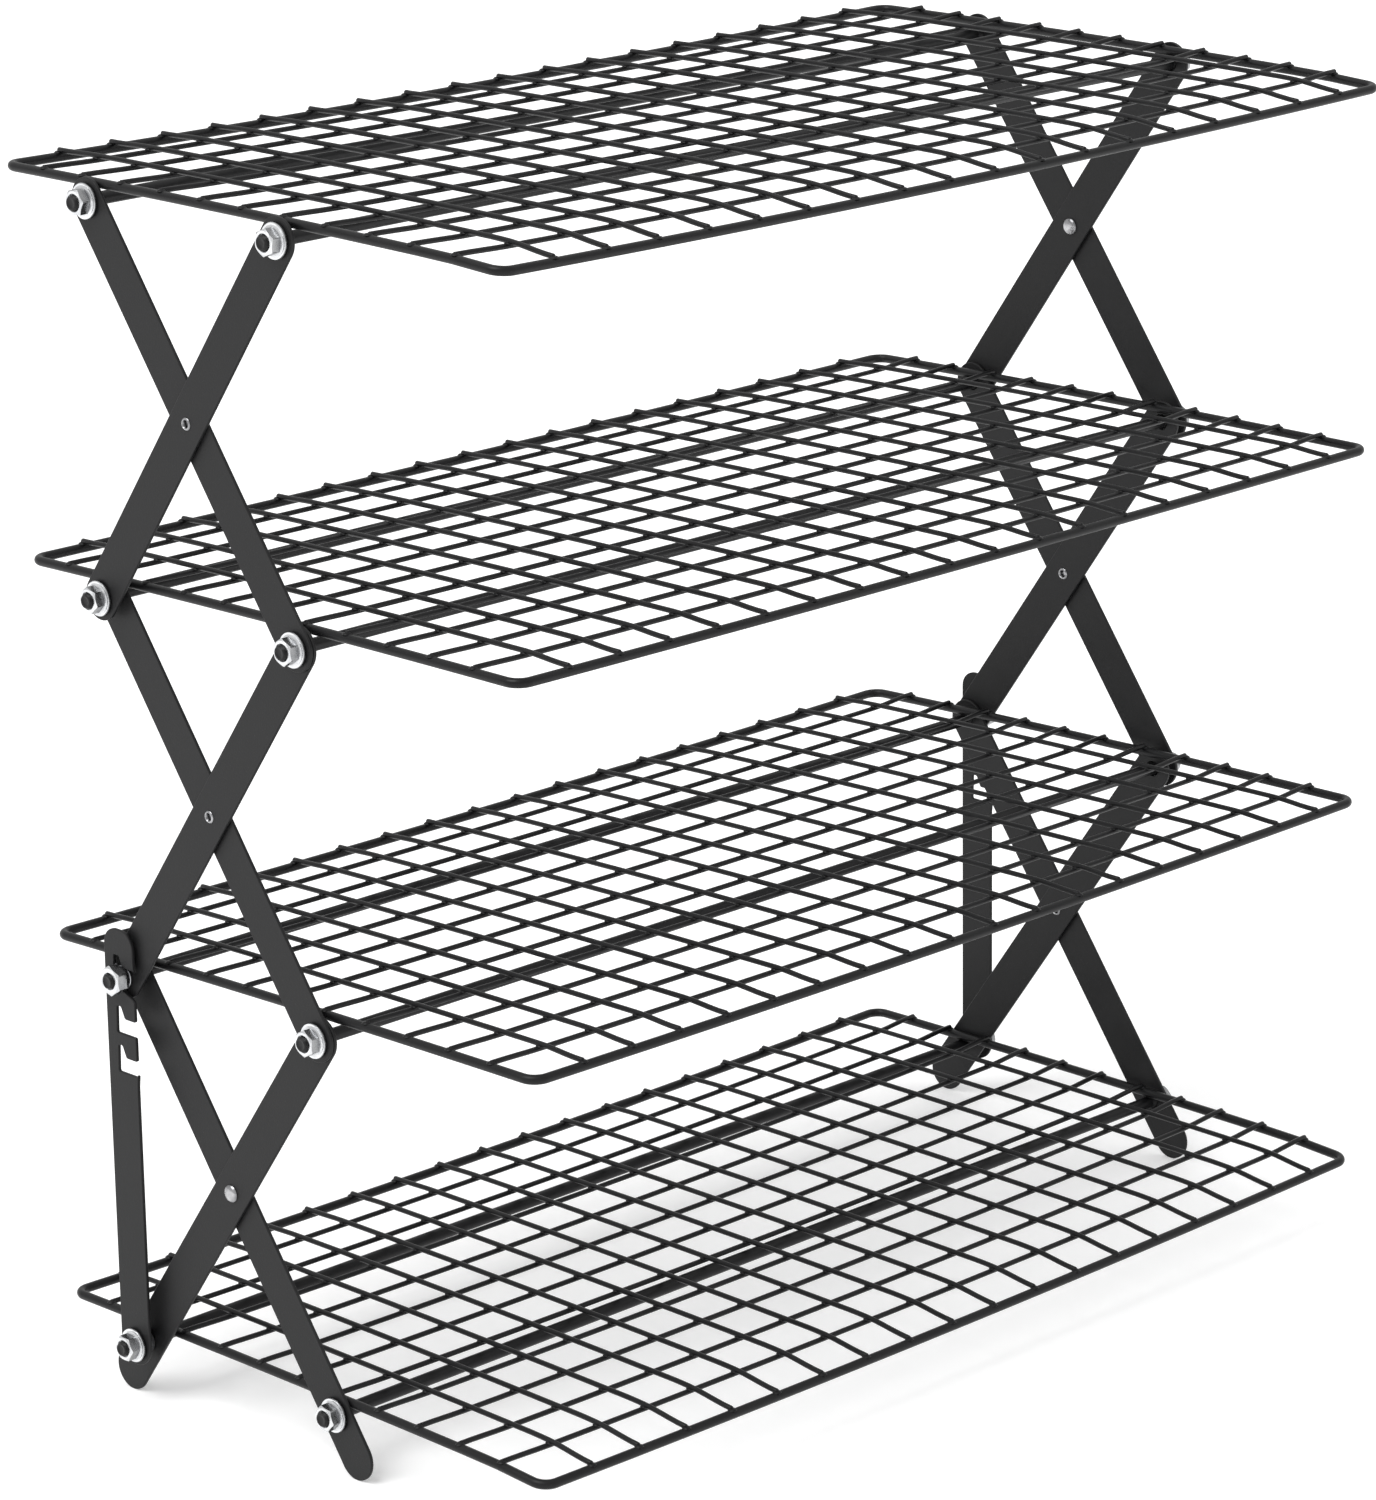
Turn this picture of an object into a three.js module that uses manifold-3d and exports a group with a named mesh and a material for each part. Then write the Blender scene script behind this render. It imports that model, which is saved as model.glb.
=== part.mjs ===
// A folding four-tier wire cooling rack: four welded wire shelves on two scissor linkages.
// Millimetres, +Z up. X runs along the shelves and -Y is the front. The floor is z = 0, and the
// origin lies on it under the middle of the rack.

import * as THREE from 'three';
import { mergeVertices } from 'three/addons/utils/BufferGeometryUtils.js';
import Module from 'manifold-3d';

const wasm = await Module();
wasm.setup();

// ---- Driving dimensions -------------------------------------------------------------------

const CLEARANCE = 0.3; // between pieces that touch or turn on each other
const TIER_COUNT = 4;
const STAGES = ['lower', 'middle', 'upper'];

// Scissor linkage
const TIER_RISE = 129.2; // from one tier's pivots up to the next tier's
const PIVOT_RUN = 93.2; // from the rear pivots forward to the front pivots
const REAR_PIVOT_Y = 72;
const ARM_WIDTH = 15;
const ARM_THICKNESS = 1.2;
const FOOT_REACH = 15.7; // from a lowest pivot to the middle of its foot's round end
const INNERMOST_ARM_FACE = 200.2; // distance from the middle of the rack

// Shelves
const RAIL_DIAMETER = 3.2;
const RAIL_HALF_WIDTH = 116.2; // to the rail's centreline
const RAIL_CORNER_RADIUS = 5;
const RAIL_ABOVE_PIVOT = 4.2;
const SHELF_SIDE_GAP = 0.4; // between the rail and the innermost arm
const LONG_WIRES = 11;
const CROSS_WIRES = 18;
const WIRE_FOOT = 0.5; // the wires' underside above the rail's centreline
const WIRE_CREST = 4.1; // the wires' top above the rail's centreline
const WIRE_WIDTH = 1.5;

// Cross rods, rolled to M5 thread at both ends
const ROD_DIAMETER = 4.4;
const THREAD_DIAMETER = 5;
const PIVOT_HOLE_DIAMETER = THREAD_DIAMETER + 2 * CLEARANCE;
const STUD_PROTRUSION = 1;

// Nuts, washers, spacers and rivets
const NUT_ACROSS_FLATS = 8;
const FLANGE_NUT_HEIGHT = 5;
const FLANGE_DIAMETER = 11.8;
const FLANGE_THICKNESS = 1.2;
const PLAIN_NUT_ACROSS_FLATS = 9.2;
const PLAIN_NUT_HEIGHT = 4;
const WASHER_DIAMETER = 8;
const WASHER_THICKNESS = 0.6; // at the left end, where the arms reach further out
const SPACER_DIAMETER = 8;
const RIVET_DIAMETER = 4;
const RIVET_HEAD_DIAMETER = 6.4;
const RIVET_HEAD_HEIGHT = 1.6;
const RIVET_TAIL_DIAMETER = 5;
const RIVET_TAIL_HEIGHT = 0.9;
const HEAD_OUTSIDE = ['lower_left', 'lower_right', 'middle_right']; // the others' heads are inside

// Latch bars: heights are above the bar's pivot, and reach is forward of its middle line
const LATCH_HALF_WIDTH = 7.25;
const LATCH_THICKNESS = 1.2;
const LATCH_TOP = 146;
const LATCH_CORNER_RADIUS = 6;
const NOTCH_TONGUE_RISE = 5.3; // from a free notch's floor up to the tongue over its mouth
const NOTCH_SLOT_RISE = 9.4; // from a free notch's floor up to the slot behind the tongue
const FREE_NOTCH_FLOORS = [96.4, 110];
const FREE_NOTCH_BACK = -2.3;
const TONGUE_ROOT = 0;
const TONGUE_TIP = 1.9;
const HOOK_CLEARANCE = 0.35; // round the stud that the top notch holds
const HOOK_LIP_DROP = 6.6; // from the held stud's axis down to the notch floor at the front edge
const HOOK_TONGUE_RISE = 3.8;
const HOOK_SLOT_RISE = 7.8;

// ---- Derived dimensions -------------------------------------------------------------------

const ARM_LENGTH = Math.hypot(TIER_RISE, PIVOT_RUN);
const ARM_TILT = Math.atan2(TIER_RISE, PIVOT_RUN);
const LAYER_PITCH = ARM_THICKNESS + CLEARANCE;
const LOWEST_PIVOT_Z = FOOT_REACH * Math.sin(ARM_TILT) + ARM_WIDTH / 2;
const FRONT_PIVOT_Y = REAR_PIVOT_Y - PIVOT_RUN;
const MIDDLE_PIVOT_Y = REAR_PIVOT_Y - PIVOT_RUN / 2;
const THREAD_RADIUS = THREAD_DIAMETER / 2;

const ROUND_SEGMENTS = 8; // sides of the small turned pieces
const ARC_DIVISIONS = 4; // half the number of sides of one arc in an extruded outline
const CORNER_DIVISIONS = 2; // the same, at the corners of a shelf's rail
const FLATNESS = 0.001; // facets this close to one plane are merged after a join or cut

const pivotZ = (tier) => LOWEST_PIVOT_Z + (tier - 1) * TIER_RISE;
const layerInnerFace = (layer) => INNERMOST_ARM_FACE + layer * LAYER_PITCH;
const layerOuterFace = (layer) => layerInnerFace(layer) + ARM_THICKNESS;

// The arms of one stage lie in two layers. Rear-footed arms are the outer ones at the left end
// and the inner ones at the right end.
const armLayer = (stage, foot, end) =>
  2 * stage + ((foot === 'rear') === (end === 'left') ? 1 : 0);

// The arm layers that meet on one pivot, innermost first.
function layersAtPivot(tier, line, end) {
  const otherLine = line === 'rear' ? 'front' : 'rear';
  const layers = [];
  if (tier > 1) layers.push(armLayer(tier - 2, otherLine, end));
  if (tier <= STAGES.length) layers.push(armLayer(tier - 1, line, end));
  return layers;
}

const shelfHalfLength = (tier) =>
  layerInnerFace(2 * Math.max(0, tier - 2)) - SHELF_SIDE_GAP - RAIL_DIAMETER / 2;

// The latch bars ride just outside the washers on the second tier's rear studs, and both ends'
// bars are as far from the middle as the left one.
const LATCH_INNER_FACE =
  layerOuterFace(armLayer(1, 'rear', 'left')) + 2 * CLEARANCE + WASHER_THICKNESS;

const holdsLatch = (tier, line) => line === 'rear' && tier <= 2;
const isPlainNut = (tier, line) => line === 'rear' && tier === 2;

const nutInnerFace = (tier, line, end) =>
  CLEARANCE +
  (holdsLatch(tier, line)
    ? LATCH_INNER_FACE + LATCH_THICKNESS
    : layerOuterFace(Math.max(...layersAtPivot(tier, line, end))));

const nutHeight = (tier, line) => (isPlainNut(tier, line) ? PLAIN_NUT_HEIGHT : FLANGE_NUT_HEIGHT);

const studEnd = (tier, line, end) =>
  nutInnerFace(tier, line, end) + nutHeight(tier, line) + STUD_PROTRUSION;

// ---- Scene graph --------------------------------------------------------------------------

const rack = new THREE.Group();
const sideOf = { left: -1, right: 1 };
const pivotY = { rear: REAR_PIVOT_Y, front: FRONT_PIVOT_Y };

const finishes = {
  coatedWire: { color: 0x1c1c1e, roughness: 0.42, metalness: 0.2 },
  coatedRod: { color: 0x1a1a1c, roughness: 0.4, metalness: 0.2 },
  coatedPlate: { color: 0x2b2b2d, roughness: 0.55, metalness: 0.15 },
  zinc: { color: 0xc9ccd0, roughness: 0.3, metalness: 0.9 },
  rivetSteel: { color: 0x9a9ca0, roughness: 0.35, metalness: 0.9 },
};

function addPiece(name, geometry, finish, position, rotation = [0, 0, 0]) {
  const piece = new THREE.Mesh(geometry, new THREE.MeshStandardMaterial(finishes[finish]));
  piece.name = name;
  piece.position.set(...position);
  piece.rotation.set(...rotation);
  rack.add(piece);
}

// ---- Solid helpers ------------------------------------------------------------------------

function toSolid(geometry) {
  const bare = geometry.clone();
  bare.deleteAttribute('normal');
  bare.deleteAttribute('uv');
  const merged = mergeVertices(bare);
  return new wasm.Manifold(
    new wasm.Mesh({
      numProp: 3,
      vertProperties: new Float32Array(merged.attributes.position.array),
      triVerts: new Uint32Array(merged.index.array),
    }),
  );
}

function toGeometry(solid) {
  const mesh = solid.asOriginal().simplify(FLATNESS).getMesh();
  const geometry = new THREE.BufferGeometry();
  geometry.setAttribute('position', new THREE.BufferAttribute(mesh.vertProperties, 3));
  geometry.setIndex(new THREE.BufferAttribute(mesh.triVerts, 1));
  geometry.computeVertexNormals();
  return geometry;
}

// Turns an outline's plane so that its x lies along Y, its y along Z and its depth along X.
const UPRIGHT = new THREE.Matrix4().makeBasis(
  new THREE.Vector3(0, 1, 0),
  new THREE.Vector3(0, 0, 1),
  new THREE.Vector3(1, 0, 0),
);

function uprightPlate(outline, thickness) {
  const geometry = new THREE.ExtrudeGeometry(outline, {
    depth: thickness,
    bevelEnabled: false,
    curveSegments: ARC_DIVISIONS,
  });
  return geometry.applyMatrix4(UPRIGHT);
}

function roundHole(x, y, diameter) {
  return new THREE.Path().absarc(x, y, diameter / 2, 0, 2 * Math.PI, true);
}

function roundOutline(diameter) {
  return new THREE.Shape().absarc(0, 0, diameter / 2, 0, 2 * Math.PI, false);
}

// A body of revolution about X from a profile of [distance along X, radius] points.
function turned(profile) {
  const points = profile.map(([along, radius]) => new THREE.Vector2(radius, along));
  return new THREE.LatheGeometry(points, ROUND_SEGMENTS).rotateZ(-Math.PI / 2);
}

// ---- Shelves ------------------------------------------------------------------------------

function roundedRectangle(path, halfLength, halfWidth, radius) {
  const x = halfLength - radius;
  const y = halfWidth - radius;
  path.absarc(x, y, radius, 0, Math.PI / 2, false);
  path.absarc(-x, y, radius, Math.PI / 2, Math.PI, false);
  path.absarc(-x, -y, radius, Math.PI, 1.5 * Math.PI, false);
  path.absarc(x, -y, radius, 1.5 * Math.PI, 2 * Math.PI, false);
  path.closePath();
  return path;
}

// The rail is a ring with a square section, centred on z = 0.
function railRing(halfLength) {
  const half = RAIL_DIAMETER / 2;
  const edge = (path, offset) =>
    roundedRectangle(
      path,
      halfLength + offset,
      RAIL_HALF_WIDTH + offset,
      RAIL_CORNER_RADIUS + offset,
    );
  const outline = edge(new THREE.Shape(), half);
  outline.holes.push(edge(new THREE.Path(), -half));
  const ring = new THREE.ExtrudeGeometry(outline, {
    depth: RAIL_DIAMETER,
    bevelEnabled: false,
    curveSegments: CORNER_DIVISIONS,
  });
  return ring.translate(0, 0, -half);
}

// A three-sided bar, crest up, as long as given and centred on the origin along Y.
function wireBar(length) {
  const section = new THREE.Shape([
    new THREE.Vector2(-WIRE_WIDTH / 2, WIRE_FOOT),
    new THREE.Vector2(WIRE_WIDTH / 2, WIRE_FOOT),
    new THREE.Vector2(0, WIRE_CREST),
  ]);
  const bar = new THREE.ExtrudeGeometry(section, { depth: length, bevelEnabled: false });
  return bar.rotateX(Math.PI / 2).translate(0, length / 2, 0);
}

function shelfGeometry(tier) {
  const halfLength = shelfHalfLength(tier);
  let shelf = toSolid(railRing(halfLength));
  for (let i = 1; i <= CROSS_WIRES; i++) {
    const x = -halfLength + (2 * halfLength * i) / (CROSS_WIRES + 1);
    shelf = shelf.add(toSolid(wireBar(2 * RAIL_HALF_WIDTH).translate(x, 0, 0)));
  }
  for (let i = 1; i <= LONG_WIRES; i++) {
    const y = -RAIL_HALF_WIDTH + (2 * RAIL_HALF_WIDTH * i) / (LONG_WIRES + 1);
    const wire = wireBar(2 * halfLength).rotateZ(Math.PI / 2);
    shelf = shelf.add(toSolid(wire.translate(0, y, 0)));
  }
  return toGeometry(shelf);
}

for (let tier = 1; tier <= TIER_COUNT; tier++) {
  const place = [0, 0, pivotZ(tier) + RAIL_ABOVE_PIVOT];
  addPiece(`shelf_${tier}`, shelfGeometry(tier), 'coatedWire', place);
}

// ---- Cross rods, with what is on their ends -----------------------------------------------

function rodGeometry(tier, line) {
  const threadStart = shelfHalfLength(tier) + RAIL_DIAMETER / 2 + SHELF_SIDE_GAP / 2;
  const left = -studEnd(tier, line, 'left');
  const right = studEnd(tier, line, 'right');
  return turned([
    [left, 0],
    [left, THREAD_RADIUS],
    [-threadStart, THREAD_RADIUS],
    [-threadStart, ROD_DIAMETER / 2],
    [threadStart, ROD_DIAMETER / 2],
    [threadStart, THREAD_RADIUS],
    [right, THREAD_RADIUS],
    [right, 0],
  ]);
}

function hexagon(acrossFlats) {
  const corners = [];
  for (let i = 0; i < 6; i++) {
    const angle = (i * Math.PI) / 3;
    const radius = acrossFlats / Math.sqrt(3);
    corners.push(new THREE.Vector2(radius * Math.cos(angle), radius * Math.sin(angle)));
  }
  return new THREE.Shape(corners);
}

// A nut whose bearing face is at x = 0 and whose body lies along +X.
function nutGeometry(flanged) {
  const height = flanged ? FLANGE_NUT_HEIGHT : PLAIN_NUT_HEIGHT;
  let nut = toSolid(uprightPlate(hexagon(flanged ? NUT_ACROSS_FLATS : PLAIN_NUT_ACROSS_FLATS), height));
  if (flanged) nut = nut.add(toSolid(uprightPlate(roundOutline(FLANGE_DIAMETER), FLANGE_THICKNESS)));
  const bore = uprightPlate(roundOutline(PIVOT_HOLE_DIAMETER), height + 2).translate(-1, 0, 0);
  return toGeometry(nut.subtract(toSolid(bore)));
}

// A ring on a stud, from x = 0 along +X.
function ringGeometry(diameter, length) {
  const outline = roundOutline(diameter);
  outline.holes.push(roundHole(0, 0, PIVOT_HOLE_DIAMETER));
  return uprightPlate(outline, length);
}

function addRing(name, diameter, from, to, side, y, z) {
  const start = side > 0 ? from : -to;
  addPiece(name, ringGeometry(diameter, to - from), 'zinc', [start, y, z]);
}

// Two arms that do not lie next to each other have a spacer between them, and so do the lowest
// rear arms and the latch bars.
function addSpacer(tier, line, end, y, z) {
  const [first, second] = layersAtPivot(tier, line, end).sort((a, b) => a - b);
  const isLatchFoot = tier === 1 && line === 'rear';
  if (!isLatchFoot && (second === undefined || second - first === 1)) return;
  const from = layerOuterFace(first) + CLEARANCE;
  const to = (isLatchFoot ? LATCH_INNER_FACE : layerInnerFace(second)) - CLEARANCE;
  addRing(`${line}_spacer_${tier}_${end}`, SPACER_DIAMETER, from, to, sideOf[end], y, z);
}

function addNut(tier, line, end, y, z) {
  const side = sideOf[end];
  const turn = [0, 0, side > 0 ? 0 : Math.PI];
  const place = [side * nutInnerFace(tier, line, end), y, z];
  addPiece(`${line}_nut_${tier}_${end}`, nutGeometry(!isPlainNut(tier, line)), 'zinc', place, turn);
}

for (let tier = 1; tier <= TIER_COUNT; tier++) {
  for (const line of ['rear', 'front']) {
    const y = pivotY[line];
    const z = pivotZ(tier);
    addPiece(`${line}_rod_${tier}`, rodGeometry(tier, line), 'coatedRod', [0, y, z]);
    for (const end of ['left', 'right']) {
      addSpacer(tier, line, end, y, z);
      addNut(tier, line, end, y, z);
    }
  }
}

for (const end of ['left', 'right']) {
  const from = layerOuterFace(armLayer(1, 'rear', end)) + CLEARANCE;
  const to = LATCH_INNER_FACE - CLEARANCE;
  addRing(`latch_washer_${end}`, WASHER_DIAMETER, from, to, sideOf[end], REAR_PIVOT_Y, pivotZ(2));
}

// ---- Scissor arms and their rivets --------------------------------------------------------

// An arm lies along Y, centred on its rivet hole, with its foot at the -Y end if it has one.
function armGeometry(hasFoot) {
  const half = ARM_LENGTH / 2;
  const radius = ARM_WIDTH / 2;
  const low = -half - (hasFoot ? FOOT_REACH : 0);
  const outline = new THREE.Shape();
  outline.absarc(half, 0, radius, -Math.PI / 2, Math.PI / 2, false);
  outline.absarc(low, 0, radius, Math.PI / 2, 1.5 * Math.PI, false);
  outline.closePath();
  outline.holes.push(roundHole(-half, 0, PIVOT_HOLE_DIAMETER));
  outline.holes.push(roundHole(0, 0, RIVET_DIAMETER + 2 * CLEARANCE));
  outline.holes.push(roundHole(half, 0, PIVOT_HOLE_DIAMETER));
  return uprightPlate(outline, ARM_THICKNESS);
}

function addArm(stage, foot, end) {
  const layer = armLayer(stage, foot, end);
  const x = sideOf[end] > 0 ? layerInnerFace(layer) : -layerOuterFace(layer);
  const z = pivotZ(stage + 1) + TIER_RISE / 2;
  const tilt = foot === 'front' ? ARM_TILT : Math.PI - ARM_TILT;
  const name = `${STAGES[stage]}_${foot}_arm_${end}`;
  addPiece(name, armGeometry(stage === 0), 'coatedPlate', [x, MIDDLE_PIVOT_Y, z], [tilt, 0, 0]);
}

// A rivet along X, centred on its grip: a domed head at the -X end and a smaller flat tail.
function rivetGeometry() {
  const shank = RIVET_DIAMETER / 2;
  const head = RIVET_HEAD_DIAMETER / 2;
  const tail = RIVET_TAIL_DIAMETER / 2;
  const half = ARM_THICKNESS + 1.5 * CLEARANCE;
  return turned([
    [-half - RIVET_HEAD_HEIGHT, 0],
    [-half - RIVET_HEAD_HEIGHT * 0.8, head * 0.6],
    [-half, head],
    [-half, shank],
    [half, shank],
    [half, tail],
    [half + RIVET_TAIL_HEIGHT, tail * 0.8],
    [half + RIVET_TAIL_HEIGHT, 0],
  ]);
}

function addRivet(stage, end) {
  const name = `${STAGES[stage]}_rivet_${end}`;
  const middle = layerOuterFace(2 * stage) + CLEARANCE / 2;
  const headSide = HEAD_OUTSIDE.includes(`${STAGES[stage]}_${end}`) ? sideOf[end] : -sideOf[end];
  const turn = [0, 0, headSide > 0 ? Math.PI : 0];
  const place = [sideOf[end] * middle, MIDDLE_PIVOT_Y, pivotZ(stage + 1) + TIER_RISE / 2];
  addPiece(name, rivetGeometry(), 'rivetSteel', place, turn);
}

for (let stage = 0; stage < STAGES.length; stage++) {
  for (const end of ['left', 'right']) {
    addArm(stage, 'front', end);
    addArm(stage, 'rear', end);
    addRivet(stage, end);
  }
}

// ---- Latch bars ---------------------------------------------------------------------------

function cutFreeNotch(outline, floor) {
  outline.lineTo(LATCH_HALF_WIDTH, floor);
  outline.lineTo(FREE_NOTCH_BACK, floor);
  outline.lineTo(FREE_NOTCH_BACK, floor + NOTCH_SLOT_RISE);
  outline.lineTo(TONGUE_ROOT, floor + NOTCH_SLOT_RISE);
  outline.lineTo(TONGUE_TIP, floor + NOTCH_TONGUE_RISE);
  outline.lineTo(LATCH_HALF_WIDTH, floor + NOTCH_TONGUE_RISE);
}

// The notch that holds the second tier's stud. Its floor falls towards the front, so that the
// stud leaves it as the bar swings back.
function cutHook(outline) {
  const back = -THREAD_RADIUS - HOOK_CLEARANCE;
  const floor = TIER_RISE - THREAD_RADIUS - HOOK_CLEARANCE;
  outline.lineTo(LATCH_HALF_WIDTH, TIER_RISE - HOOK_LIP_DROP);
  outline.lineTo(0, floor);
  outline.lineTo(back, floor);
  outline.lineTo(back, TIER_RISE + HOOK_SLOT_RISE);
  outline.lineTo(TONGUE_ROOT, TIER_RISE + HOOK_SLOT_RISE);
  outline.lineTo(TONGUE_TIP, TIER_RISE + HOOK_TONGUE_RISE);
  outline.lineTo(LATCH_HALF_WIDTH, TIER_RISE + HOOK_TONGUE_RISE);
}

function latchGeometry() {
  const corner = LATCH_HALF_WIDTH - LATCH_CORNER_RADIUS;
  const shoulder = LATCH_TOP - LATCH_CORNER_RADIUS;
  const outline = new THREE.Shape();
  outline.absarc(0, 0, LATCH_HALF_WIDTH, Math.PI, 2 * Math.PI, false);
  FREE_NOTCH_FLOORS.forEach((floor) => cutFreeNotch(outline, floor));
  cutHook(outline);
  outline.absarc(corner, shoulder, LATCH_CORNER_RADIUS, 0, Math.PI / 2, false);
  outline.absarc(-corner, shoulder, LATCH_CORNER_RADIUS, Math.PI / 2, Math.PI, false);
  outline.closePath();
  outline.holes.push(roundHole(0, 0, PIVOT_HOLE_DIAMETER));
  return uprightPlate(outline, LATCH_THICKNESS);
}

// Half a turn about Z puts the notches on the front edge and the thickness along -X.
for (const end of ['left', 'right']) {
  const x = sideOf[end] > 0 ? LATCH_INNER_FACE + LATCH_THICKNESS : -LATCH_INNER_FACE;
  const place = [x, REAR_PIVOT_Y, pivotZ(1)];
  addPiece(`latch_bar_${end}`, latchGeometry(), 'coatedPlate', place, [0, 0, Math.PI]);
}

export default rack;
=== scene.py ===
"""Looks of the folding four-tier cooling rack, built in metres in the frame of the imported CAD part."""

import math
import random

import bmesh
import bpy
from mathutils import Matrix, Vector


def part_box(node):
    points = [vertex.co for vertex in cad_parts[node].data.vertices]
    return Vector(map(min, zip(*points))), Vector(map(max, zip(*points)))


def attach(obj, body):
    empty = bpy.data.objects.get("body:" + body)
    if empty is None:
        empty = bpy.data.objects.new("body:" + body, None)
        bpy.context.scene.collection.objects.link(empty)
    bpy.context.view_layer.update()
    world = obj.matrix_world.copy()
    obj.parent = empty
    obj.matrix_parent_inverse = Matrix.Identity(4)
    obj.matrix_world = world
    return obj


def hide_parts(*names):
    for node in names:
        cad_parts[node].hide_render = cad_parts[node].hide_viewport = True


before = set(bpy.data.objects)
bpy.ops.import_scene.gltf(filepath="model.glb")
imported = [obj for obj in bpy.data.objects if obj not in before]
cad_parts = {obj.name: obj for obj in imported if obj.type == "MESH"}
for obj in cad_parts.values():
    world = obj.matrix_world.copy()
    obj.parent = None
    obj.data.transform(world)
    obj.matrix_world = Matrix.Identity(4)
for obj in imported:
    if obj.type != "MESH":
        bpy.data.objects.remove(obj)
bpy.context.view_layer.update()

MM = 0.001
ENDS = ("left", "right")
STAGES = ("lower", "middle", "upper")
TIERS = (1, 2, 3, 4)
TIER_BODIES = {1: "base", 2: "second_tier", 3: "third_tier", 4: "top_tier"}
rng = random.Random(11)

# ---- Sizes --------------------------------------------------------------------------------

RAIL_RADIUS = 1.6 * MM
RAIL_CORNER = 5.0 * MM
RAIL_SIDES = 16
CORNER_STEPS = 10
WIRE_RADIUS = 0.9 * MM
WIRE_SIDES = 12
WIRE_CUT = 0.3  # length of a cut end's rounding, as a part of the wire's radius
CUT_RADII = (0.72, 0.92, 1.0)  # from the cut inwards, as the same part
LONG_WIRES = 11
CROSS_WIRES = 18
LONG_STEPS = 76
CROSS_STEPS = 60
LONG_END_SPREAD = (-0.3, 0.5)  # mm that a long wire's ends stand past the rails' middle lines
CROSS_END_SPREAD = (-0.3, 0.4)
LONG_WIRE_RISE = 1.25 * MM  # wire centre above the rail's centre
CROSS_WIRE_RISE = 2.75 * MM
CROSSING_RISE = (LONG_WIRE_RISE + CROSS_WIRE_RISE) / 2
LEFT_END_LIFT = 0.3 * MM  # of the long wires' left ends, where they lie on the rail
RIGHT_END_LIFT = 0.95 * MM  # and of their right ends
REAR_END_DIP = 0.4 * MM  # of the cross wires' rear ends, down onto the rail
FRONT_END_DIP = 0.95 * MM  # of their front ends, which are pressed further into it
END_ON_RAIL = 2 * MM  # the last stretch of each wire, which keeps its full lift or dip
SHELF_BOW = 0.8 * MM  # the long sides sag and the short sides arch by this much
SHELF_TILT = {1: 0.0, 2: -1.2, 3: -0.5, 4: 0.5}  # degrees, rear edge up
SHELF_DROOP = {1: 1.2 * MM, 2: 0, 3: 0, 4: 0.9 * MM}  # of the front edge, where no rod reaches
DROOP_POWER = 1.4
DROOP_GAP = 2 * MM  # between the rod's furthest place and where the droop starts
SHELF_SAG = {1: 1.2 * MM, 2: 0.5 * MM, 3: 0, 4: 1.1 * MM}  # of the middle, between the two ends
REAR_ROD_PLAY = 0.3 * MM  # how far a shelf can drop onto its rear rod
FRONT_ROD_PLAY = 0.6 * MM  # and onto its front rod, when that has slid forward
FRONT_ROD_SLIDE = 66 * MM  # how far the front rods slide as the rack folds
WIRE_JITTER = 0.22 * MM  # how far a wire can lie off its even spacing
WELD_SIZE = Vector((1.45, 1.45, 0.62)) * MM
RAIL_WELD_SIZE = WELD_SIZE * 1.1
RAIL_WELD_RISE = 1.45 * MM
SEAM_PLACE = 0.31  # the rail's butt weld, as a part of the half length
SEAM_REACH = 0.016
SEAM_SWELL = 1.09  # of the rail's radius at that weld

ARM_RADIUS = 7.5 * MM
PLATE_EDGE = 0.28 * MM  # rounding of the plates' edges
SAME_PLACE = 0.004 * MM  # points of a plate closer than this are joined
END_STEPS = 28  # in the half circle at a plate's end
PIVOT_HOLE = 2.75 * MM
RIVET_HOLE = 2.05 * MM

ROD_RADIUS = 2.2 * MM
THREAD_RADIUS = 2.5 * MM
THREAD_PITCH = 0.8 * MM
THREAD_DEPTH = 0.42 * MM
STUD_TIP_CUT = 0.25 * MM  # how far the thread's tip is turned down
STUD_TIP_SLOPE = 0.9
THREAD_START = 0.3  # of a pitch, in which the thread rises from the rod
FLANK_SLOPE = 1.35  # over 1, so that the thread's roots are flat
CREST_FLAT = 0.12
STUD_END = ((1.7 * MM, 0.02 * MM), (1.5 * MM, -0.1 * MM), (0.7 * MM, -0.22 * MM))  # radius, rise
SHELF_TO_THREAD = 0.2 * MM
THREAD_TO_ROD = 0.15 * MM
ROD_STEPS = 24

NUT_FLAT = 4.0 * MM  # half of the width across flats
PLAIN_NUT_FLAT = 4.6 * MM
NUT_BORE = 2.56 * MM
NUT_SIDES = 72
NUT_SEAT = 0.08 * MM  # clearance under a nut
NUT_CORNER = 1.135  # reach of the rounded corners, as a part of the flats' reach
NUT_FACE = 0.94  # radius of the flat end face, as the same part
CHAMFER_START = 0.95
CHAMFER_ANGLE = math.radians(30)
CHAMFER_LIP = 0.05 * MM
PLAIN_NUT_TURN = 0.06  # radians

RING_RADIUS = 4.0 * MM  # of the spacers and washers
RING_EDGE = 0.18 * MM
RING_SIDES = 48
SPACER_BORE = NUT_BORE + 0.15 * MM
WASHER_BORE = NUT_BORE + 0.1 * MM

LATCH_HALF_WIDTH = 7.25 * MM
LATCH_CORNER = 6.0 * MM
NOTCH_EDGE = 0.7 * MM  # rounding of the notches' corners
FREE_NOTCH_DEPTH = 2.3 * MM  # behind the bar's middle line
HOOK_DEPTH = 2.85 * MM  # of the top notch, behind and below the stud's axis
NOTCH_LEAN = 0.3 * MM  # the notches' backs lean forward by this much
FREE_NOTCHES = (96.4 * MM, 110.0 * MM)  # heights of their floors above the bar's pivot
TONGUE_TIP = 1.9 * MM  # how far forward a notch's tongue starts

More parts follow.
